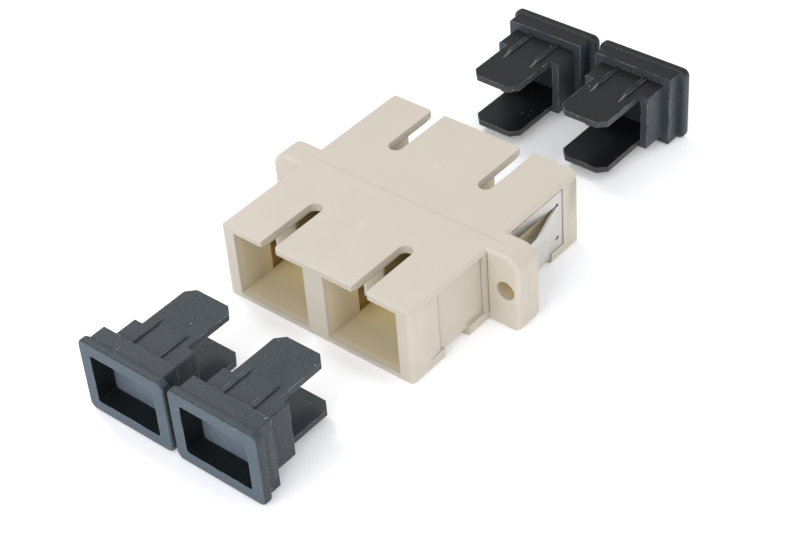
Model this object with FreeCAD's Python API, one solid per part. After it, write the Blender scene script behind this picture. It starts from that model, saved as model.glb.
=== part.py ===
import FreeCAD, Part

import math
import os

# Duplex SC fibre adapter with its four dust caps pulled straight out of the ports.
# Millimetres. X runs across the two ports, Y along them and Z up. The front ports open towards
# -Y. Everything is drawn about the middle of the flange at the height of the port axes, and is
# lowered at the end so that the origin lies between the two screw holes.

# Ports
port_pitch = 12.7
port_width = 9.45
port_height = 7.8
port_corner_radius = 0.1
lead_in_width = 0.25
lead_in_height = 0.3
lead_in_depth = 1.2

# Housing
body_width = 26.4
half_length = 14.7
roof_wall = 1.0
floor_wall = 1.0
edge_radius = 0.6
mouth_edge_radius = 0.18

# Flange, one half of it on each moulding
flange_width = 34.6
flange_thickness = 3.7
ear_top_radius = 1.8
ear_bottom_radius = 1.0
flange_edge_radius = 0.45
screw_inset = 1.8
screw_rise = 0.3
screw_hole_radius = 1.15

# Key slots in the roof
slot_width = 1.8
slot_length = 8.6
lip_corner_radius = 0.6

# Side pockets and strap channel for the mounting clip
pocket_depth = 0.45
pocket_start = 2.5
front_pocket_end = 9.9
front_ramp_length = 2.1
front_ramp_depth = 0.2
rear_pocket_end = 11.75
pocket_top_margin = 0.55
pocket_sill = 1.5
channel_start = 5.2
channel_end = 9.5
channel_bend_radius = 0.9

# Weld pins between the halves
weld_pin_radius = 0.6
weld_pin_length = 0.8
weld_pin_height = 3.0
weld_pin_clearance = 0.05

# Latch insert, one per port: a plate with the sleeve holder and two hooked arms
plate_width = 10.9
plate_thickness = 1.0
plate_clearance = 0.05
holder_radius = 2.4
holder_lip = 0.85
holder_lip_radius = 1.42
arm_length = 9.3
arm_height = 4.9
arm_inside = 3.95
arm_thickness = 0.6
arm_root_thickening = 0.3
arm_room = 0.6
arm_pocket_end = 9.75
hook_reach = 0.55
hook_length = 3.0
hook_nose_radius = 1.2

# Split sleeve
ferrule_radius = 1.25
sleeve_wall = 0.35
sleeve_length = 11.4
sleeve_slit = 0.45
sleeve_clearance = 0.05
sleeve_end_play = 0.05

# Mounting clip, folded from one strip of spring steel
clip_thickness = 0.3
clip_clearance = 0.05
tang_root = 10.7
tang_knee = 5.0
tang_end = 3.2
tang_knee_reach = 1.75
tang_end_reach = 1.95
tang_top = 2.4
tang_bottom = -1.7
tang_slit = 0.25
window_end = 2.9
relief_radius = 0.3

# Dust cap
cap_lip_gap = 0.5
cap_lip_height = 9.55
cap_lip_thickness = 1.1
cap_lip_radius = 0.9
cap_lip_edge = 0.3
cap_recess_border = 1.6
cap_recess_depth = 2.6
cap_shoulder_width = 10.5
cap_shoulder_height = 9.2
cap_shoulder_length = 1.95
cap_plug_width = 8.8
cap_plug_height = 7.2
cap_plug_length = 3.35
cap_plug_wall = 0.9
cap_web = 0.65
cap_blade_width = 6.4
cap_blade_thickness = 0.75
cap_blade_length = 7.15
cap_blade_chamfer = 0.97
cap_rib_offset = 1.95
cap_rib_width = 0.5
cap_rib_run = 2.15
cap_rib_clearance = 0.05

# How far the outer face of each cap stands from the flange, as taken off
front_cap_distance = 36.8
rear_cap_distance = 38.2

# Sizes that follow from the ones above
port_floor = -port_height / 2
port_roof = port_height / 2
body_bottom = port_floor - floor_wall
body_top = port_roof + roof_wall
body_height = body_top - body_bottom
body_side = body_width / 2
flange_half = flange_thickness / 2
arm_pocket_half = arm_inside + arm_thickness + arm_room
plate_height = port_height - 2 * plate_clearance
pocket_top = body_top - pocket_top_margin
pocket_bottom = body_bottom + pocket_sill
sleeve_radius = ferrule_radius + sleeve_wall
holder_bore_radius = sleeve_radius + sleeve_clearance
holder_length = sleeve_length / 2 + sleeve_end_play + holder_lip
screw_offset = flange_width / 2 - screw_inset
cap_lip_width = port_pitch - cap_lip_gap
ports = {"left": -port_pitch / 2, "right": port_pitch / 2}


def vec(x, y, z):
    return FreeCAD.Vector(x, y, z)


def block(x0, x1, y0, y1, z0, z1):
    return Part.makeBox(x1 - x0, y1 - y0, z1 - z0, vec(x0, y0, z0))


def polygon(points):
    """Closed face through the points, in order."""
    return Part.Face(Part.makePolygon(points + points[:1]))


def corner_arc(centre, radius, start, along, across):
    """Quarter arc about centre that starts in direction `start` degrees, in the plane along/across."""
    def at(angle):
        turn = math.radians(start + angle)
        return centre + along * (radius * math.cos(turn)) + across * (radius * math.sin(turn))
    return Part.Arc(at(0), at(45), at(90)).toShape()


def rounded_section(y, x0, x1, z0, z1, low_radius, high_radius):
    """Rectangular wire across the Y axis with rounded corners, low ones and high ones apart."""
    across, up = vec(1, 0, 0), vec(0, 0, 1)
    corners = [
        (vec(x1 - high_radius, y, z1 - high_radius), high_radius, 0),
        (vec(x0 + high_radius, y, z1 - high_radius), high_radius, 90),
        (vec(x0 + low_radius, y, z0 + low_radius), low_radius, 180),
        (vec(x1 - low_radius, y, z0 + low_radius), low_radius, 270),
    ]
    arcs = [corner_arc(centre, radius, start, across, up) for centre, radius, start in corners]
    edges = []
    for arc, following in zip(arcs, arcs[1:] + arcs[:1]):
        edges.append(arc)
        edges.append(Part.makeLine(arc.Vertexes[-1].Point, following.Vertexes[0].Point))
    return Part.Wire(edges)


def bar(y0, y1, x0, x1, z0, z1, low_radius, high_radius):
    """Bar along Y with a rounded section."""
    wire = rounded_section(y0, x0, x1, z0, z1, low_radius, high_radius)
    return Part.Face(wire).extrude(vec(0, y1 - y0, 0))


def edges_where(shape, test):
    """Edges whose two end points both pass the test."""
    return [edge for edge in shape.Edges if all(test(vertex.Point) for vertex in edge.Vertexes)]


def turned(shape):
    """The same shape turned half a turn about Z."""
    copy = shape.copy()
    copy.rotate(vec(0, 0, 0), vec(0, 0, 1), 180)
    return copy


# ---------------------------------------------------------------- housing halves

def housing_shell():
    """Outer form of one half: the body with soft edges and its half of the flange."""
    body = block(-body_side, body_side, -half_length, 0, body_bottom, body_top)
    long_edges = edges_where(body, lambda p: abs(abs(p.x) - body_side) < 1e-6)
    long_edges = [e for e in long_edges if abs(e.Vertexes[0].Point.y - e.Vertexes[1].Point.y) > 1]
    corner_edges = edges_where(body, lambda p: p.y < -half_length + 1e-6)
    corner_edges = [e for e in corner_edges if abs(e.Vertexes[0].Point.z - e.Vertexes[1].Point.z) > 1]
    body = body.makeFillet(edge_radius, long_edges + corner_edges)
    body = body.makeFillet(mouth_edge_radius, edges_where(body, lambda p: p.y < -half_length + 1e-6))
    side = flange_width / 2
    flange = bar(-flange_half, 0, -side, side, body_bottom, body_top, ear_bottom_radius, ear_top_radius)
    rim = edges_where(flange, lambda p: p.y < -flange_half + 1e-6)
    flange = flange.makeFillet(flange_edge_radius, rim)
    return body.fuse(flange)


def port_cut(centre):
    """One port: plain bore, lead-in at the mouth, room for the latch arms and the plate's seat."""
    half_width = port_width / 2
    bore = bar(-half_length - 1, 1, centre - half_width, centre + half_width, port_floor, port_roof,
               port_corner_radius, port_corner_radius)
    mouth_half = half_width + lead_in_width
    mouth = rounded_section(-half_length, centre - mouth_half, centre + mouth_half,
                            port_floor - lead_in_height, port_roof + lead_in_height,
                            port_corner_radius, port_corner_radius)
    throat = rounded_section(-half_length + lead_in_depth, centre - half_width, centre + half_width,
                             port_floor, port_roof, port_corner_radius, port_corner_radius)
    arm_pocket = block(centre - arm_pocket_half, centre + arm_pocket_half, -arm_pocket_end, 1,
                       port_floor, port_roof)
    seat_half = plate_width / 2 + plate_clearance
    seat = block(centre - seat_half, centre + seat_half, -plate_thickness, 1, port_floor, port_roof)
    return bore.fuse([Part.makeLoft([mouth, throat], True, True), arm_pocket, seat])


def slot_cut(centre):
    """Key slot through the roof, open at the mouth, with a round inner end and one rounded lip corner."""
    half_width = slot_width / 2
    outer = -half_length - 1
    inner = -half_length + slot_length - half_width
    left, right = centre - half_width, centre + half_width
    arc = Part.Arc(vec(right, inner, 0), vec(centre, inner + half_width, 0), vec(left, inner, 0)).toShape()
    outline = Part.Wire([
        Part.makeLine(vec(left, outer, 0), vec(right, outer, 0)),
        Part.makeLine(vec(right, outer, 0), vec(right, inner, 0)),
        arc,
        Part.makeLine(vec(left, inner, 0), vec(left, outer, 0)),
    ])
    through = Part.Face(outline).extrude(vec(0, 0, body_top + 1))
    lip_end = -half_length + lip_corner_radius
    corner = block(right - half_width, right + lip_corner_radius, outer, lip_end, port_roof / 2, body_top + 1)
    pivot = vec(right + lip_corner_radius, lip_end, 0)
    corner = corner.cut(Part.makeCylinder(lip_corner_radius, body_height, pivot))
    return through.fuse(corner)


def strap_ring(y0, y1, inset, thickness):
    """U-shaped band round the underside: its inner face lies `inset` inside the body's faces."""
    top = pocket_bottom + 0.2
    inner_side, inner_bottom = body_side - inset, body_bottom + inset
    outer_side, outer_bottom = inner_side + thickness, inner_bottom - thickness
    outer = bar(y0, y1, -outer_side, outer_side, outer_bottom, body_top,
                channel_bend_radius + thickness, channel_bend_radius)
    inner = bar(y0 - 1, y1 + 1, -inner_side, inner_side, inner_bottom, body_top + 1,
                channel_bend_radius, channel_bend_radius)
    return outer.cut(inner).common(block(-outer_side, outer_side, y0, y1, outer_bottom, top))


def clip_pocket_cut(pocket_end):
    """Side pockets and the channel under the body in which a mounting clip lies."""
    cuts = [strap_ring(-channel_end, -channel_start, pocket_depth, pocket_depth + 2)]
    for side in (-1, 1):
        floor_x, open_x = side * (body_side - pocket_depth), side * (body_side + 1)
        cuts.append(block(min(floor_x, open_x), max(floor_x, open_x), -pocket_end, -pocket_start,
                          pocket_bottom, pocket_top))
    return cuts


def ramp_cut(side):
    """Shallow ramp from the end of the front half's pocket out to the side face."""
    start, end = -front_pocket_end, -front_pocket_end - front_ramp_length
    wedge = polygon([
        vec(side * (body_side - front_ramp_depth), start, pocket_bottom),
        vec(side * body_side, end, pocket_bottom),
        vec(side * (body_side + 1), end, pocket_bottom),
        vec(side * (body_side + 1), start, pocket_bottom),
    ])
    return wedge.extrude(vec(0, 0, pocket_top - pocket_bottom))


def housing_half(pocket_end):
    """One moulded half with its mouth towards -Y."""
    cuts = [port_cut(centre) for centre in ports.values()]
    cuts += [slot_cut(centre) for centre in ports.values()]
    cuts += clip_pocket_cut(pocket_end)
    for side in (-1, 1):
        hole_start = vec(side * screw_offset, -flange_thickness, screw_rise)
        cuts.append(Part.makeCylinder(screw_hole_radius, 2 * flange_thickness, hole_start, vec(0, 1, 0)))
    pin_x = (body_side + port_pitch / 2 + plate_width / 2) / 2 + weld_pin_radius
    pins = []
    for z in (-weld_pin_height, weld_pin_height):
        pins.append(Part.makeCylinder(weld_pin_radius, weld_pin_length + 0.5, vec(pin_x, -0.5, z), vec(0, 1, 0)))
        socket_start = vec(-pin_x, -weld_pin_length - weld_pin_clearance, z)
        socket_radius = weld_pin_radius + weld_pin_clearance
        cuts.append(Part.makeCylinder(socket_radius, weld_pin_length + 1, socket_start, vec(0, 1, 0)))
    return housing_shell().cut(cuts).fuse(pins).removeSplitter()


# ---------------------------------------------------------------- latch inserts and sleeves

def latch_arm():
    """Spring arm on the +X side, with a hooked head that points inwards."""
    outer = arm_inside + arm_thickness
    tip = -arm_length
    hook_end = tip + hook_length
    nose = arm_inside - hook_reach
    root = -plate_thickness
    outline = polygon([
        vec(outer, root, 0),
        vec(outer, tip + 0.3, 0),
        vec(outer - 0.3, tip, 0),
        vec(arm_inside - 0.2 * hook_reach, tip, 0),
        vec(nose, tip + 0.45 * hook_length, 0),
        vec(nose, hook_end - 0.2 * hook_length, 0),
        vec(arm_inside, hook_end, 0),
        vec(arm_inside, root - 2, 0),
        vec(arm_inside - arm_root_thickening, root, 0),
    ])
    arm = outline.extrude(vec(0, 0, arm_height))
    arm.translate(vec(0, 0, -arm_height / 2))
    tip_edges = edges_where(arm, lambda p: p.y < tip + 0.01)
    tip_edges = [e for e in tip_edges if abs(e.Vertexes[0].Point.z - e.Vertexes[1].Point.z) < 1e-6]
    return arm.makeFillet(hook_nose_radius, tip_edges)


def latch_insert():
    """Latch insert of one port, its arms towards -Y and its plate against the seam at Y = 0."""
    half = plate_width / 2
    plate = bar(-plate_thickness, 0, -half, half, -plate_height / 2, plate_height / 2,
                port_corner_radius, port_corner_radius)
    holder = Part.makeCylinder(holder_radius, holder_length, vec(0, 0, 0), vec(0, -1, 0))
    rim = [e for e in holder.Edges if abs(e.BoundBox.YMin + holder_length) < 1e-6 and e.BoundBox.YLength < 1e-6]
    holder = holder.makeChamfer(0.3, rim)
    arm = latch_arm()
    mirrored = arm.mirror(vec(0, 0, 0), vec(1, 0, 0))
    body = plate.fuse([holder, arm, mirrored])
    bore_depth = holder_length - holder_lip
    bore = Part.makeCylinder(holder_bore_radius, bore_depth + 1, vec(0, 1, 0), vec(0, -1, 0))
    lip = Part.makeCylinder(holder_lip_radius, holder_length + 1, vec(0, 0, 0), vec(0, -1, 0))
    guide = Part.makeCone(holder_lip_radius + 0.4, holder_lip_radius, 0.4, vec(0, -holder_length, 0), vec(0, 1, 0))
    return body.cut([bore, lip, guide]).removeSplitter()


def split_sleeve():
    """Slit ceramic tube that lines up the two ferrules of one channel."""
    start = vec(0, -sleeve_length / 2, 0)
    along = vec(0, 1, 0)
    tube = Part.makeCylinder(sleeve_radius, sleeve_length, start, along)
    bore = Part.makeCylinder(ferrule_radius, sleeve_length + 2, start - along, along)
    slit = block(-sleeve_slit / 2, sleeve_slit / 2, -sleeve_length, sleeve_length, 0, sleeve_radius + 1)
    return tube.cut([bore, slit])


# ---------------------------------------------------------------- mounting clip

def clip_side():
    """Side of the clip on +X: a plate in the pocket with a window and the tang cut from it."""
    inner = body_side - pocket_depth + clip_clearance
    outer = inner + clip_thickness
    y0, y1 = pocket_start + clip_clearance, rear_pocket_end - clip_clearance
    plate = block(inner, outer, y0, y1, pocket_bottom + clip_clearance, pocket_top - clip_clearance)
    corner_edges = [e for e in plate.Edges if e.BoundBox.XLength > clip_thickness / 2]
    plate = plate.makeFillet(relief_radius, corner_edges)
    window = block(inner - 1, outer + 1, window_end, tang_root, tang_bottom - tang_slit, tang_top + tang_slit)
    reliefs = [
        Part.makeCylinder(relief_radius, 2, vec(inner - 1, tang_root, z), vec(1, 0, 0))
        for z in (tang_bottom - tang_slit / 2, tang_top + tang_slit / 2)
    ]
    return plate.cut([window] + reliefs).fuse(clip_tang(inner, outer))


def clip_tang(inner, outer):
    """Spring tang that leans out of the pocket towards the flange."""
    knee_lean = math.atan2(tang_knee_reach, tang_root - tang_knee)
    end_lean = math.atan2(tang_end_reach - tang_knee_reach, tang_knee - tang_end)
    knee_offset = clip_thickness * math.tan((knee_lean - end_lean) / 2)
    root_offset = clip_thickness * math.tan(knee_lean / 2)
    outline = polygon([
        vec(inner, tang_root + 0.4, 0),
        vec(outer, tang_root + 0.4, 0),
        vec(outer, tang_root, 0),
        vec(outer + tang_knee_reach, tang_knee, 0),
        vec(outer + tang_end_reach, tang_end, 0),
        vec(outer + tang_end_reach - clip_thickness, tang_end, 0),
        vec(outer + tang_knee_reach - clip_thickness, tang_knee + knee_offset, 0),
        vec(inner, tang_root - root_offset, 0),
    ])
    tang = outline.extrude(vec(0, 0, tang_top - tang_bottom))
    tang.translate(vec(0, 0, tang_bottom))
    free_edges = edges_where(tang, lambda p: p.y < tang_end + 0.01)
    free_edges = [e for e in free_edges if e.BoundBox.XLength > clip_thickness / 2]
    return tang.makeFillet(2 * relief_radius, free_edges)


def mounting_clip():
    """Folded clip that wraps the rear half from below."""
    side = clip_side()
    mirrored = side.mirror(vec(0, 0, 0), vec(1, 0, 0))
    y0, y1 = channel_start + clip_clearance, channel_end - clip_clearance
    strap = strap_ring(y0, y1, pocket_depth - clip_clearance, clip_thickness)
    return strap.fuse([side, mirrored]).removeSplitter()


# ---------------------------------------------------------------- dust caps

def cap_blade(side):
    """Flat blade above (side = 1) or below (side = -1) the hollow, with clipped corners."""
    half = cap_blade_width / 2
    start = cap_lip_thickness + cap_shoulder_length
    end = start + cap_plug_length + cap_blade_length
    outline = polygon([
        vec(-half, start, 0),
        vec(-half, end - cap_blade_chamfer, 0),
        vec(-half + cap_blade_chamfer, end, 0),
        vec(half - cap_blade_chamfer, end, 0),
        vec(half, end - cap_blade_chamfer, 0),
        vec(half, start, 0),
    ])
    blade = outline.extrude(vec(0, 0, cap_blade_thickness))
    low = side * cap_plug_height / 2 - (cap_blade_thickness if side > 0 else 0)
    blade.translate(vec(0, 0, low))
    return blade


def cap_rib(x):
    """Thin grip rib along the plug's roof that slopes down to nothing on the upper blade."""
    base = cap_plug_height / 2 - 0.1
    crest = port_height / 2 - cap_rib_clearance
    start = cap_lip_thickness + cap_shoulder_length - 0.1
    end = start + cap_plug_length + cap_rib_run
    flat_end = end - 0.6 * cap_rib_run
    half = cap_rib_width / 2
    side_view = polygon([vec(x, start, base), vec(x, start, crest), vec(x, flat_end, crest), vec(x, end, base)])
    rib = side_view.extrude(vec(cap_rib_width, 0, 0))
    rib.translate(vec(-half, 0, 0))
    plan = polygon([
        vec(x - half, start - 1, base - 1),
        vec(x + half, start - 1, base - 1),
        vec(x + half, flat_end, base - 1),
        vec(x + 0.1, end, base - 1),
        vec(x - 0.1, end, base - 1),
        vec(x - half, flat_end, base - 1),
    ])
    return rib.common(plan.extrude(vec(0, 0, 3)))


def dust_cap():
    """Dust cap with its outer face at Y = 0 and its blades towards +Y."""
    lip_half, lip_high = cap_lip_width / 2, cap_lip_height / 2
    lip = bar(0, cap_lip_thickness, -lip_half, lip_half, -lip_high, lip_high, cap_lip_radius, cap_lip_radius)
    rims = [e for e in lip.Edges if e.BoundBox.YLength < 1e-6]
    lip = lip.makeFillet(cap_lip_edge, rims)
    shoulder_end = cap_lip_thickness + cap_shoulder_length
    half, high = cap_shoulder_width / 2, cap_shoulder_height / 2
    shoulder = bar(cap_lip_thickness / 2, shoulder_end, -half, half, -high, high, 0.15, 0.15)
    plug_end = shoulder_end + cap_plug_length
    half, high = cap_plug_width / 2, cap_plug_height / 2
    plug = bar(cap_lip_thickness, plug_end, -half, half, -high, high, 0.2, 0.2)
    solid = lip.fuse([shoulder, plug, cap_blade(1), cap_blade(-1), cap_rib(-cap_rib_offset), cap_rib(cap_rib_offset)])
    half, high = lip_half - cap_recess_border, lip_high - cap_recess_border
    recess = bar(-1, cap_recess_depth, -half, half, -high, high, 0.35, 0.35)
    half, high = cap_plug_width / 2 - cap_plug_wall, cap_plug_height / 2 - cap_blade_thickness
    hollow = bar(cap_recess_depth + cap_web, plug_end + 1, -half, half, -high, high, 0.3, 0.3)
    return solid.cut([recess, hollow]).removeSplitter()


# ---------------------------------------------------------------- the parts in place

def all_parts():
    parts = {
        "housing_front": housing_half(front_pocket_end).cut([ramp_cut(-1), ramp_cut(1)]),
        "housing_rear": turned(housing_half(rear_pocket_end)),
        "mounting_clip": mounting_clip(),
    }
    insert, sleeve, cap = latch_insert(), split_sleeve(), dust_cap()
    for side, centre in ports.items():
        place = vec(centre, 0, 0)
        parts["latch_front_" + side] = insert.translated(place)
        parts["latch_rear_" + side] = turned(insert).translated(place)
        parts["split_sleeve_" + side] = sleeve.translated(place)
        parts["dust_cap_front_" + side] = cap.translated(place + vec(0, -front_cap_distance, 0))
        parts["dust_cap_rear_" + side] = turned(cap).translated(place + vec(0, rear_cap_distance, 0))
    return {name: shape.translated(vec(0, 0, -screw_rise)) for name, shape in parts.items()}


os.makedirs("parts", exist_ok=True)
for name, shape in all_parts().items():
    solids = shape.Solids
    if len(solids) == 1:
        shape = solids[0]
    shape.exportStep("parts/" + name + ".step")
    print(name, "solids", len(solids), "valid", shape.isValid(), "volume %.2f" % shape.Volume)
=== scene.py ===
import math

import bmesh
import bpy
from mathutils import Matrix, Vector


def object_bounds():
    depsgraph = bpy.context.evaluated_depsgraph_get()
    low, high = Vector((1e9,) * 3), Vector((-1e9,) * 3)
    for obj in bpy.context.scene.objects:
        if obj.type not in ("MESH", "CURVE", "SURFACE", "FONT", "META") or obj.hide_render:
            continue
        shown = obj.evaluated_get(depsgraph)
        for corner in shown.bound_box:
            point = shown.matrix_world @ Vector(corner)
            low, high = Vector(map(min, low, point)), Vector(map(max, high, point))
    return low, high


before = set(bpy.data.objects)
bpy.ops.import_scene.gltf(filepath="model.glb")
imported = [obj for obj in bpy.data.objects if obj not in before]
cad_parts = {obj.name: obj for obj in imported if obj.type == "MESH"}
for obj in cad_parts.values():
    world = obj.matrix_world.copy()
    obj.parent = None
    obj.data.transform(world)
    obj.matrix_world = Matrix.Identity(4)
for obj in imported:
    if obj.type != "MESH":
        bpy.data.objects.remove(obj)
cad_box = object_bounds()
MM = 0.001


# ---- Housing halves
# Two copies of one injection-moulded part in filled beige plastic, welded face to face at the
# middle of the flange. The mould leaves a fine satin skin, a parting line and two gate marks.

housing_beige = (0.549, 0.495, 0.410, 1.0)
housing_roughness = 0.42
port_painted_warm_light = (1.20, 1.15, 0.95)
depth_painted_warm_light = (1.42, 1.36, 1.04)
port_floor_painted_shade = (0.90, 0.89, 0.87)
pocket_painted_shade = (0.54, 0.41, 0.24)
hole_painted_warm_light = (1.15, 1.04, 0.78)
channel_painted_light = (1.45, 1.38, 1.20)
crease_painted_shade = (0.58, 0.50, 0.38)
seam_shade = (0.82, 0.80, 0.77)
gate_shade = (1.13, 1.14, 1.17)
hair_shade = (0.86, 0.82, 0.76)
# Places and lengths on the object are in millimetres.
port_centre = 6.35
port_axis_height = -0.3
port_half_width = 5.60
port_floor_height = -4.2
arm_pocket_offset = 5.18
screw_hole_centre = 15.5
roof_height = 4.4
gate_mark_places = (-6.13, 6.65)
front_face = -14.7


def soften(node, crease_degrees=32):
    """Shades a carried-over solid smoothly within its rounds and sharply across its creases."""
    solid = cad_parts[node]
    solid.data.shade_smooth()
    weld = solid.modifiers.new("weld", "WELD")
    weld.merge_threshold = 1e-6
    split = solid.modifiers.new("crease", "EDGE_SPLIT")
    split.split_angle = math.radians(crease_degrees)


def cover(node, material):
    """Gives a carried-over solid one material all over."""
    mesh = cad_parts[node].data
    mesh.materials.clear()
    mesh.materials.append(material)


def feed(links, socket, source):
    """Links a socket to another node's socket, or sets it to a plain value."""
    if isinstance(source, bpy.types.NodeSocket):
        links.new(source, socket)
    else:
        socket.default_value = source


def arithmetic(nodes, links, operation, *sources):
    """Result of one step of arithmetic on sockets or plain numbers."""
    step = nodes.new("ShaderNodeMath")
    step.operation = operation
    for socket, source in zip(step.inputs, sources):
        feed(links, socket, source)
    return step.outputs[0]


def spread(nodes, links, value, low, high, to_low=0.0, to_high=1.0):
    """Stretches the range from low to high over 0 to 1, or over other ends, and cuts off the rest."""
    stretch = nodes.new("ShaderNodeMapRange")
    for name, source in (("Value", value), ("From Min", low), ("From Max", high),
                         ("To Min", to_low), ("To Max", to_high)):
        feed(links, stretch.inputs[name], source)
    return stretch.outputs["Result"]


def object_place(nodes):
    """The object's own coordinates, in metres."""
    return nodes.new("ShaderNodeTexCoord").outputs["Object"]


def noise(nodes, links, place, scale, detail=2.0):
    """Cloudy noise from 0 to 1, with `scale` clouds to a unit of the given coordinates."""
    clouds = nodes.new("ShaderNodeTexNoise")
    clouds.inputs["Detail"].default_value = detail
    links.new(place, clouds.inputs["Vector"])
    feed(links, clouds.inputs["Scale"], scale)
    return clouds.outputs["Fac"]


def start_group(name, inputs, outputs):
    """A new shader node group, with its nodes, its links, what it is given and what it puts out."""
    group = bpy.data.node_groups.new(name, "ShaderNodeTree")
    for direction, sockets in (("INPUT", inputs), ("OUTPUT", outputs)):
        for socket, kind in sockets:
            group.interface.new_socket(socket, in_out=direction, socket_type=f"NodeSocket{kind}")
    given = group.nodes.new("NodeGroupInput").outputs
    result = group.nodes.new("NodeGroupOutput").inputs
    return group, group.nodes, group.links, given, result


def place_group(nodes, group, values):
    """Outputs of a node group that is placed in a material with its own values."""
    placed = nodes.new("ShaderNodeGroup")
    placed.node_tree = group
    for name, value in values.items():
        placed.inputs[name].default_value = value
    return placed.outputs


def moulded_skin_group():
    """Fine mould texture: varies a colour and a roughness a little and gives a height for bump."""
    group, nodes, links, given, result = start_group(
        "moulded_skin",
        (("Colour", "Color"), ("Variation", "Float"), ("Roughness", "Float"),
         ("Grain per metre", "Float"), ("Speckle", "Float")),
        (("Colour", "Color"), ("Roughness", "Float"), ("Height", "Float")),
    )
    place = object_place(nodes)
    grain = noise(nodes, links, place, given["Grain per metre"], detail=3.0)
    links.new(grain, result["Height"])
    clouds = noise(nodes, links, place, 260.0, detail=4.0)
    darkest = arithmetic(nodes, links, "SUBTRACT", 1.0, given["Variation"])
    shade = spread(nodes, links, clouds, 0.3, 0.7, to_low=darkest)
    uneven_grain = arithmetic(nodes, links, "SUBTRACT", grain, 0.5)
    speckled = arithmetic(nodes, links, "MULTIPLY_ADD", uneven_grain, given["Speckle"], shade)
    tint = nodes.new("ShaderNodeVectorMath")
    tint.operation = "SCALE"
    links.new(given["Colour"], tint.inputs[0])
    links.new(speckled, tint.inputs["Scale"])
    links.new(tint.outputs["Vector"], result["Colour"])
    gloss = arithmetic(nodes, links, "MULTIPLY_ADD", grain, 0.12, given["Roughness"])
    links.new(gloss, result["Roughness"])
    return group


moulded_skin = moulded_skin_group()


def moulded_plastic(name, colour, variation, roughness, grain, grain_depth, edge_radius, speckle=0.1):
    """Principled plastic with the mould's skin and edges that catch the light."""
    material = bpy.data.materials.new(name)
    material.use_nodes = True
    nodes, links = material.node_tree.nodes, material.node_tree.links
    shader = nodes["Principled BSDF"]
    skin = place_group(nodes, moulded_skin, {
        "Colour": colour, "Variation": variation, "Roughness": roughness,
        "Grain per metre": grain, "Speckle": speckle,
    })
    rounding = nodes.new("ShaderNodeBevel")
    rounding.samples = 6
    rounding.inputs["Radius"].default_value = edge_radius
    bump = nodes.new("ShaderNodeBump")
    bump.inputs["Distance"].default_value = grain_depth
    bump.inputs["Strength"].default_value = 0.70
    links.new(skin["Height"], bump.inputs["Height"])
    links.new(rounding.outputs["Normal"], bump.inputs["Normal"])
    links.new(bump.outputs["Normal"], shader.inputs["Normal"])
    links.new(skin["Colour"], shader.inputs["Base Color"])
    links.new(skin["Roughness"], shader.inputs["Roughness"])
    return material


def box_mask_group():
    """White inside a box on the object's own axes, fading in over a given depth from each face."""
    group, nodes, links, given, result = start_group(
        "box_mask",
        (("Centre", "Vector"), ("Half size", "Vector"), ("Fade", "Vector")),
        (("Mask", "Float"),),
    )

    def vector_step(operation, *sources):
        step = nodes.new("ShaderNodeVectorMath")
        step.operation = operation
        for socket, source in zip(step.inputs, sources):
            links.new(source, socket)
        return step.outputs["Vector"]

    offset = vector_step("SUBTRACT", object_place(nodes), given["Centre"])
    depth = vector_step("SUBTRACT", given["Half size"], vector_step("ABSOLUTE", offset))
    ramps = nodes.new("ShaderNodeSeparateXYZ")
    links.new(vector_step("DIVIDE", depth, given["Fade"]), ramps.inputs["Vector"])
    least = ramps.outputs["X"]
    for axis in ("Y", "Z"):
        least = arithmetic(nodes, links, "MINIMUM", least, ramps.outputs[axis])
        least.node.use_clamp = True
    links.new(least, result["Mask"])
    return group


box_mask = box_mask_group()


def mask_in_box(nodes, centre, half_size, fade):
    """The box mask placed in a material, with its sizes given in millimetres."""
    sizes = {"Centre": centre, "Half size": half_size, "Fade": fade}
    in_metres = {name: [length * MM for length in lengths] for name, lengths in sizes.items()}
    return place_group(nodes, box_mask, in_metres)["Mask"]


# A Mix node has two inputs and an output of its own for each kind of data.
COLOURS = ("RGBA", 6, 7, 2)
NUMBERS = ("FLOAT", 2, 3, 0)


def mix_in(nodes, links, socket, mask, second, kind=COLOURS, how="MIX"):
    """Mixes a second colour or number, where the mask is white, into what feeds a socket."""
    data_type, first_input, second_input, output = kind
    mix = nodes.new("ShaderNodeMix")
    mix.data_type = data_type
    mix.blend_type = how
    links.new(mask, mix.inputs[0])
    links.new(socket.links[0].from_socket, mix.inputs[first_input])
    feed(links, mix.inputs[second_input], second)
    links.new(mix.outputs[output], socket)


def tint_box(material, centre, half_size, fade, colour, streaks=0.0, level_faces_only=False):
    """Multiplies a material's colour in a box, in millimetres: whole, in streaks or on level faces."""
    nodes, links = material.node_tree.nodes, material.node_tree.links
    mask = mask_in_box(nodes, centre, half_size, fade)
    if streaks:
        scratches = noise(nodes, links, object_place(nodes), streaks)
        mask = arithmetic(nodes, links, "MULTIPLY", mask, spread(nodes, links, scratches, 0.45, 0.60))
    if level_faces_only:
        facing = nodes.new("ShaderNodeSeparateXYZ")
        links.new(nodes.new("ShaderNodeTexCoord").outputs["Normal"], facing.inputs["Vector"])
        level = arithmetic(nodes, links, "ABSOLUTE", facing.outputs["Z"])
        mask = arithmetic(nodes, links, "MULTIPLY", mask, level)
    base = nodes["Principled BSDF"].inputs["Base Color"]
    mix_in(nodes, links, base, mask, (*colour, 1.0), how="MULTIPLY")


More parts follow.
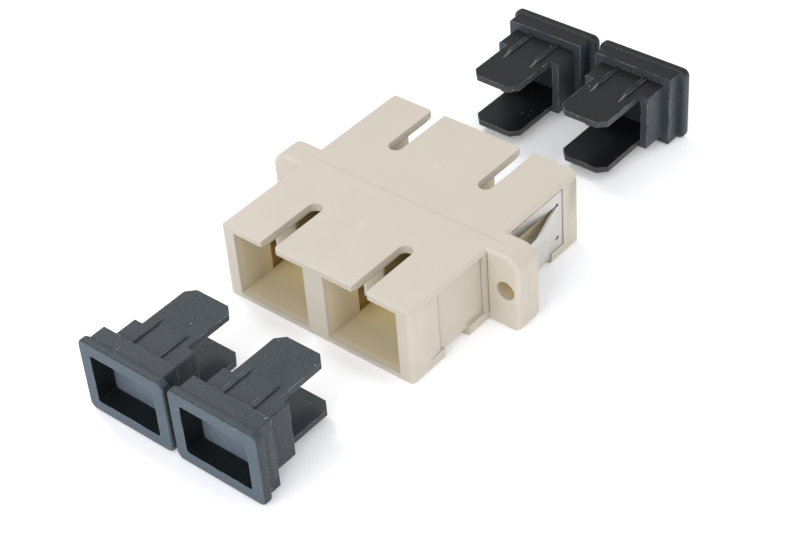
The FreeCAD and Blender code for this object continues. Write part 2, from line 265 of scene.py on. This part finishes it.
housing_plastic = moulded_plastic("housing_plastic", housing_beige, 0.03, housing_roughness,
                                  grain=9000.0, grain_depth=0.004 * MM, edge_radius=0.10 * MM)
for side in (-1, 1):
    port = side * port_centre
    # Painted warm light in the port, stronger the deeper it goes, painted shade on its floor, and painted
    # shade in the pockets behind the latch arms.
    tint_box(housing_plastic, (port, 0, -0.45), (port_half_width, 14.68, 4.10),
             (0.02, 0.6, 0.02), port_painted_warm_light)
    tint_box(housing_plastic, (port, 0, port_axis_height), (port_half_width, 11.5, 3.92),
             (0.02, 4.0, 0.02), depth_painted_warm_light)
    tint_box(housing_plastic, (port, 0, port_floor_height), (port_half_width, 14.5, 0.2),
             (0.02, 0.6, 0.1), port_floor_painted_shade)
    for wall in (-arm_pocket_offset, arm_pocket_offset):
        tint_box(housing_plastic, (port + wall, 0, port_axis_height), (0.42, 9.7, 3.92),
                 (0.02, 0.1, 0.02), pocket_painted_shade)
    # Painted light in the clip's channel, and painted warm light in the screw hole.
    tint_box(housing_plastic, (side * 12.6, 6.0, port_axis_height), (0.55, 4.2, 3.2),
             (0.05, 0.3, 0.3), channel_painted_light)
    tint_box(housing_plastic, (side * screw_hole_centre, 0, 0), (1.20, 1.82, 1.20),
             (0.02, 0.6, 0.02), hole_painted_warm_light)
    # Painted shade in the creases: both ends of the front pocket, its upper edge, and the root of the flange.
    tint_box(housing_plastic, (side * 12.95, -9.95, 0.2), (0.30, 0.06, 3.9), (0.02, 0.04, 0.3), crease_painted_shade)
    tint_box(housing_plastic, (side * 12.76, -2.5, 0.2), (0.09, 0.05, 3.9), (0.06, 0.04, 0.3), crease_painted_shade)
    tint_box(housing_plastic, (side * 12.9, -6.2, 4.03), (0.30, 3.7, 0.04), (0.02, 0.1, 0.03), crease_painted_shade)
    tint_box(housing_plastic, (side * 13.2, -1.86, 0), (0.12, 0.10, 4.3), (0.06, 0.06, 0.3), crease_painted_shade)
# The parting line, and a gate mark on the roof of each half.
tint_box(housing_plastic, (0, 0, roof_height), (13.0, 0.04, 0.3), (5.0, 0.03, 0.02), seam_shade)
for y in gate_mark_places:
    tint_box(housing_plastic, (-0.2, y, roof_height), (0.7, 0.5, 0.3), (0.4, 0.3, 0.02), gate_shade,
             streaks=4000.0)
# Hair lines on the front rim.
tint_box(housing_plastic, (-12.2, front_face, -0.2), (0.05, 0.1, 2.55), (0.04, 0.02, 0.4), hair_shade)
tint_box(housing_plastic, (-12.05, front_face, -2.7), (0.18, 0.1, 0.05), (0.1, 0.02, 0.04), hair_shade)
tint_box(housing_plastic, (-0.55, front_face, -1.95), (0.65, 0.1, 0.05), (0.2, 0.02, 0.04), hair_shade)
for half in ("housing_front", "housing_rear"):
    soften(half)
    cover(half, housing_plastic)


# ---- Latch inserts
# One inside each port: a moulded plate with the sleeve holder and two hooked spring arms, in a
# slightly warmer and smoother plastic than the housing, which lets a little light through.
# They are trapped when the halves are welded.

insert_cream = (0.93, 0.90, 0.83, 1.0)
insert_painted_shade = (0.52, 0.44, 0.26)
insert_plastic = moulded_plastic("insert_plastic", insert_cream, 0.03, 0.38,
                                 grain=7000.0, grain_depth=0.003 * MM, edge_radius=0.06 * MM)
# Painted warm shade over the deeper part of each insert, behind the hook heads.
tint_box(insert_plastic, (0, 0, port_axis_height), (20.0, 6.4, 5.0), (0.1, 0.5, 0.1), insert_painted_shade)
insert_shader = insert_plastic.node_tree.nodes["Principled BSDF"]
insert_shader.inputs["Subsurface Weight"].default_value = 0.5
insert_shader.inputs["Subsurface Radius"].default_value = (1.0, 0.85, 0.6)
insert_shader.inputs["Subsurface Scale"].default_value = 1.0 * MM
for end in ("front", "rear"):
    for side in ("left", "right"):
        soften(f"latch_{end}_{side}")
        cover(f"latch_{end}_{side}", insert_plastic)


# ---- Split sleeves
# A slit zirconia tube per channel that springs round the two ferrules. Ground and polished, so it
# is glossy and nearly white.

zirconia_white = (0.86, 0.85, 0.81, 1.0)
zirconia_ior = 2.1
sleeve_ceramic = moulded_plastic("sleeve_ceramic", zirconia_white, 0.01, 0.16,
                                 grain=3000.0, grain_depth=0.0005 * MM, edge_radius=0.04 * MM)
sleeve_ceramic.node_tree.nodes["Principled BSDF"].inputs["IOR"].default_value = zirconia_ior
for side in ("left", "right"):
    soften(f"split_sleeve_{side}")
    cover(f"split_sleeve_{side}", sleeve_ceramic)


# ---- Mounting clip
# Blanked and folded from one strip of stainless spring steel, 0.3 mm thick. The rolled surface is
# satin and finely mottled, with lines along the strip, and a painted highlight brightens its cut edges.

steel_dull = (0.505, 0.490, 0.460, 1.0)
steel_bright = (0.605, 0.590, 0.555, 1.0)
clip_gap_painted_shadow = (0.06, 0.05, 0.04, 1.0)
cut_edge_painted_highlight = (1.60, 1.60, 1.58)
slit_painted_shade = (0.10, 0.09, 0.08)


def spring_steel():
    """Mottled satin steel with fine lines along the strip, and a painted shadow at the edge next to the
    housing.
    """
    material = bpy.data.materials.new("clip_steel")
    material.use_nodes = True
    nodes, links = material.node_tree.nodes, material.node_tree.links
    shader = nodes["Principled BSDF"]
    shader.inputs["Metallic"].default_value = 1.0
    mottle = noise(nodes, links, object_place(nodes), 4200.0, detail=3.0)
    data_type, dull_input, bright_input, output = COLOURS
    rolled = nodes.new("ShaderNodeMix")
    rolled.data_type = data_type
    rolled.inputs[dull_input].default_value = steel_dull
    rolled.inputs[bright_input].default_value = steel_bright
    links.new(spread(nodes, links, mottle, 0.35, 0.65), rolled.inputs[0])
    links.new(rolled.outputs[output], shader.inputs["Base Color"])
    # Painted shadow along the top of each side plate, where it meets the housing.
    gap = mask_in_box(nodes, (0, 7.0, 3.95), (13.5, 4.7, 0.13), (0.02, 0.1, 0.04))
    mix_in(nodes, links, shader.inputs["Base Color"], gap, clip_gap_painted_shadow)
    strip = nodes.new("ShaderNodeMapping")
    strip.inputs["Scale"].default_value = (9000.0, 9000.0, 500.0)
    links.new(object_place(nodes), strip.inputs["Vector"])
    lines = noise(nodes, links, strip.outputs["Vector"], 1.0, detail=4.0)
    gloss = spread(nodes, links, lines, 0.0, 1.0, to_low=0.34, to_high=0.52)
    links.new(gloss, shader.inputs["Roughness"])
    bump = nodes.new("ShaderNodeBump")
    bump.inputs["Distance"].default_value = 0.002 * MM
    links.new(lines, bump.inputs["Height"])
    links.new(bump.outputs["Normal"], shader.inputs["Normal"])
    return material


soften("mounting_clip", 25)
clip_steel = spring_steel()
for side in (-1, 1):
    # Painted highlight on the tang's upper edge, and painted shade in the slit under its root.
    tint_box(clip_steel, (side * 14.0, 6.9, 2.1), (1.7, 3.9, 0.05), (0.05, 0.1, 0.02), cut_edge_painted_highlight)
    tint_box(clip_steel, (side * 12.95, 10.4, -2.22), (0.25, 0.55, 0.12), (0.02, 0.1, 0.05), slit_painted_shade)
cover("mounting_clip", clip_steel)


# ---- Dust caps
# Four one-piece caps moulded in charcoal polyethylene, a little waxy, matt outside with a paler colour that
# is partly painted light, and scuffed at the edges, partly a painted edge highlight. The ribs and the two
# blades grip in the port, and the lip is what a finger pulls.

cap_charcoal = (0.044, 0.053, 0.059, 1.0)
cap_grain = 6000.0
cap_sheen = 0.26
matt_charcoal_and_painted_light = (0.090, 0.114, 0.138, 1.0)
matt_roughness = 0.62
recess_painted_shade = (0.20, 0.20, 0.20)
recess_floor_painted_light = (1.42, 1.36, 1.36)
rear_cap_painted_shade = (0.18, 0.18, 0.17)
rib_painted_glint = (16.0, 16.0, 16.0)
scuff_and_highlight_colour = (0.26, 0.29, 0.31, 1.0)
cap_face_places = (-36.8, 38.2)
recess_floor_places = (-34.2, 35.6)
rib_offset = 1.95


def matt_and_painted_light_outer_faces(material):
    """Gives the faces that look away from the ports the mould's matt texture, in a paler colour that is
    partly painted light.
    """
    nodes, links = material.node_tree.nodes, material.node_tree.links
    coordinates = nodes.new("ShaderNodeTexCoord")
    facing = nodes.new("ShaderNodeSeparateXYZ")
    links.new(coordinates.outputs["Normal"], facing.inputs["Vector"])
    place = nodes.new("ShaderNodeSeparateXYZ")
    links.new(coordinates.outputs["Object"], place.inputs["Vector"])
    end = arithmetic(nodes, links, "SIGN", place.outputs["Y"])
    outward = arithmetic(nodes, links, "MULTIPLY", facing.outputs["Y"], end)
    mask = spread(nodes, links, outward, 0.75, 0.95)
    skin = place_group(nodes, moulded_skin, {
        "Colour": matt_charcoal_and_painted_light, "Variation": 0.10, "Roughness": matt_roughness,
        "Grain per metre": cap_grain, "Speckle": 1.0,
    })
    shader = nodes["Principled BSDF"]
    mix_in(nodes, links, shader.inputs["Base Color"], mask, skin["Colour"])
    mix_in(nodes, links, shader.inputs["Roughness"], mask, skin["Roughness"], kind=NUMBERS)


def scuff_and_highlight_edge_group():
    """White in uneven patches along sharp outer edges and at a few specks, black everywhere else."""
    group, nodes, links, given, result = start_group(
        "scuff_and_highlight_edge",
        (("Radius", "Float"), ("Patches per metre", "Float"), ("Specks per metre", "Float")),
        (("Mask", "Float"),),
    )
    rounded = nodes.new("ShaderNodeBevel")
    rounded.samples = 8
    links.new(given["Radius"], rounded.inputs["Radius"])
    flat = nodes.new("ShaderNodeNewGeometry")
    agreement = nodes.new("ShaderNodeVectorMath")
    agreement.operation = "DOT_PRODUCT"
    links.new(rounded.outputs["Normal"], agreement.inputs[0])
    links.new(flat.outputs["True Normal"], agreement.inputs[1])
    edge = spread(nodes, links, agreement.outputs["Value"], 0.97, 0.80)
    openness = nodes.new("ShaderNodeAmbientOcclusion")
    openness.samples = 8
    openness.only_local = True
    openness.inputs["Distance"].default_value = 0.5 * MM
    outer = spread(nodes, links, openness.outputs["AO"], 0.75, 0.95)
    place = object_place(nodes)
    patches = noise(nodes, links, place, given["Patches per metre"])
    scuff_and_highlight = arithmetic(nodes, links, "MULTIPLY", edge, outer)
    scuff_and_highlight = arithmetic(nodes, links, "MULTIPLY", scuff_and_highlight, spread(nodes, links, patches, 0.38, 0.62))
    grit = nodes.new("ShaderNodeTexVoronoi")
    links.new(place, grit.inputs["Vector"])
    links.new(given["Specks per metre"], grit.inputs["Scale"])
    speck = spread(nodes, links, grit.outputs["Distance"], 0.055, 0.035)
    links.new(arithmetic(nodes, links, "MAXIMUM", scuff_and_highlight, speck), result["Mask"])
    return group


scuff_and_highlight_edge = scuff_and_highlight_edge_group()


def scuff_and_highlight_edges(material, radius, patches, specks, colour):
    """Mixes a paler colour into a material along its sharp outer edges, as scuffs and a painted edge
    highlight, and at stray specks.
    """
    nodes, links = material.node_tree.nodes, material.node_tree.links
    values = {"Radius": radius, "Patches per metre": patches, "Specks per metre": specks}
    mask = place_group(nodes, scuff_and_highlight_edge, values)["Mask"]
    mix_in(nodes, links, nodes["Principled BSDF"].inputs["Base Color"], mask, colour)


cap_plastic = moulded_plastic("cap_plastic", cap_charcoal, 0.10, 0.38, grain=cap_grain,
                              grain_depth=0.006 * MM, edge_radius=0.14 * MM, speckle=2.0)
cap_plastic.node_tree.nodes["Principled BSDF"].inputs["Specular IOR Level"].default_value = cap_sheen
# Painted shade on the level faces of the rear caps, which makes them darker than the front caps.
tint_box(cap_plastic, (0, 32, 0), (20.0, 12.0, 8.0), (0.1, 0.1, 0.1), rear_cap_painted_shade, level_faces_only=True)
for side in (-1, 1):
    port = side * port_centre
    # Painted shade inside the recess in each cap's face.
    for y in cap_face_places:
        tint_box(cap_plastic, (port, y, port_axis_height), (4.6, 2.55, 3.3), (0.05, 0.05, 0.05), recess_painted_shade)
    # Painted glints on the rib crests of the rear caps.
    for rib in (-rib_offset, rib_offset):
        tint_box(cap_plastic, (port + rib, 30.2, 3.6), (0.12, 0.9, 0.4), (0.05, 0.4, 0.05), rib_painted_glint)
# Matt texture on the outer faces, in a paler colour that is partly painted light.
matt_and_painted_light_outer_faces(cap_plastic)
# Painted light on the floor of each cap's recess.
for y in recess_floor_places:
    tint_box(cap_plastic, (0, y, port_axis_height), (12.0, 0.3, 3.3), (0.05, 0.05, 0.05), recess_floor_painted_light)
# Scuffs along the sharp outer edges, partly a painted edge highlight, and a few pale specks.
scuff_and_highlight_edges(cap_plastic, 0.16 * MM, patches=700.0, specks=520.0, colour=scuff_and_highlight_colour)
for end in ("front", "rear"):
    for side in ("left", "right"):
        soften(f"dust_cap_{end}_{side}")
        cover(f"dust_cap_{end}_{side}", cap_plastic)


# ---- Table, light and camera
# A pale table with its level at the lowest point of the object. A small light from the upper left
# is the key, and two wide ones from the front and the right fill the shadows.

floor_reach = 1.5
floor_height = cad_box[0][2]
floor_white = (0.93, 0.93, 0.94, 1.0)
floor_glow = 0.20

sheet = bmesh.new()
bmesh.ops.create_grid(sheet, x_segments=1, y_segments=1, size=floor_reach)
bmesh.ops.translate(sheet, verts=sheet.verts, vec=(0, 0, floor_height))
floor_mesh = bpy.data.meshes.new("floor")
sheet.to_mesh(floor_mesh)
sheet.free()
floor = bpy.data.objects.new("floor", floor_mesh)
bpy.context.scene.collection.objects.link(floor)
floor_paint = bpy.data.materials.new("floor_paint")
floor_paint.use_nodes = True
floor_shader = floor_paint.node_tree.nodes["Principled BSDF"]
floor_shader.inputs["Base Color"].default_value = floor_white
floor_shader.inputs["Roughness"].default_value = 0.9
floor_shader.inputs["Specular IOR Level"].default_value = 0.1
floor_shader.inputs["Emission Color"].default_value = (1.0, 1.0, 1.0, 1.0)
floor_shader.inputs["Emission Strength"].default_value = floor_glow
floor_mesh.materials.append(floor_paint)


def soft_light(name, place, size, power, colour):
    """Square area light at `place`, in metres, that faces the middle of the object."""
    lamp = bpy.data.lights.new(name, "AREA")
    lamp.size = size
    lamp.energy = power
    lamp.color = colour
    holder = bpy.data.objects.new(name, lamp)
    holder.location = place
    holder.rotation_euler = (-Vector(place)).to_track_quat("-Z", "Y").to_euler()
    bpy.context.scene.collection.objects.link(holder)


soft_light("key", (-0.36, 0.10, 0.50), size=0.12, power=1.05, colour=(1.0, 0.99, 0.96))
soft_light("front_fill", (0.02, -0.47, 0.30), size=0.40, power=1.7, colour=(0.97, 0.99, 1.0))
soft_light("side_fill", (0.50, 0.06, 0.26), size=0.30, power=0.6, colour=(1.0, 0.99, 0.97))

studio_colour = (0.93, 0.95, 1.0, 1.0)
studio_strength = 0.76
world = bpy.data.worlds.new("studio")
world.use_nodes = True
world.node_tree.nodes["Background"].inputs["Color"].default_value = studio_colour
world.node_tree.nodes["Background"].inputs["Strength"].default_value = studio_strength
bpy.context.scene.world = world
bpy.context.scene.view_settings.view_transform = "Standard"

camera_azimuth = math.radians(42.479)
camera_elevation = math.radians(39.550)
camera_roll = math.radians(-4.801)
camera_distance = 219.115 * MM
camera_aim = Vector((-0.457, -0.516, -5.162)) * MM
camera_lens = 88.19
camera_sensor_width = 36.0
camera_clip_start = 0.01

towards_camera = Vector((
    math.sin(camera_azimuth) * math.cos(camera_elevation),
    -math.cos(camera_azimuth) * math.cos(camera_elevation),
    math.sin(camera_elevation),
))
camera_data = bpy.data.cameras.new("camera")
camera_data.lens = camera_lens
camera_data.sensor_width = camera_sensor_width
camera_data.clip_start = camera_clip_start
camera = bpy.data.objects.new("camera", camera_data)
camera.location = camera_aim + towards_camera * camera_distance
camera.rotation_euler = towards_camera.to_track_quat("Z", "Y").to_euler()
camera.rotation_euler.rotate_axis("Z", camera_roll)
bpy.context.scene.collection.objects.link(camera)
bpy.context.scene.camera = camera
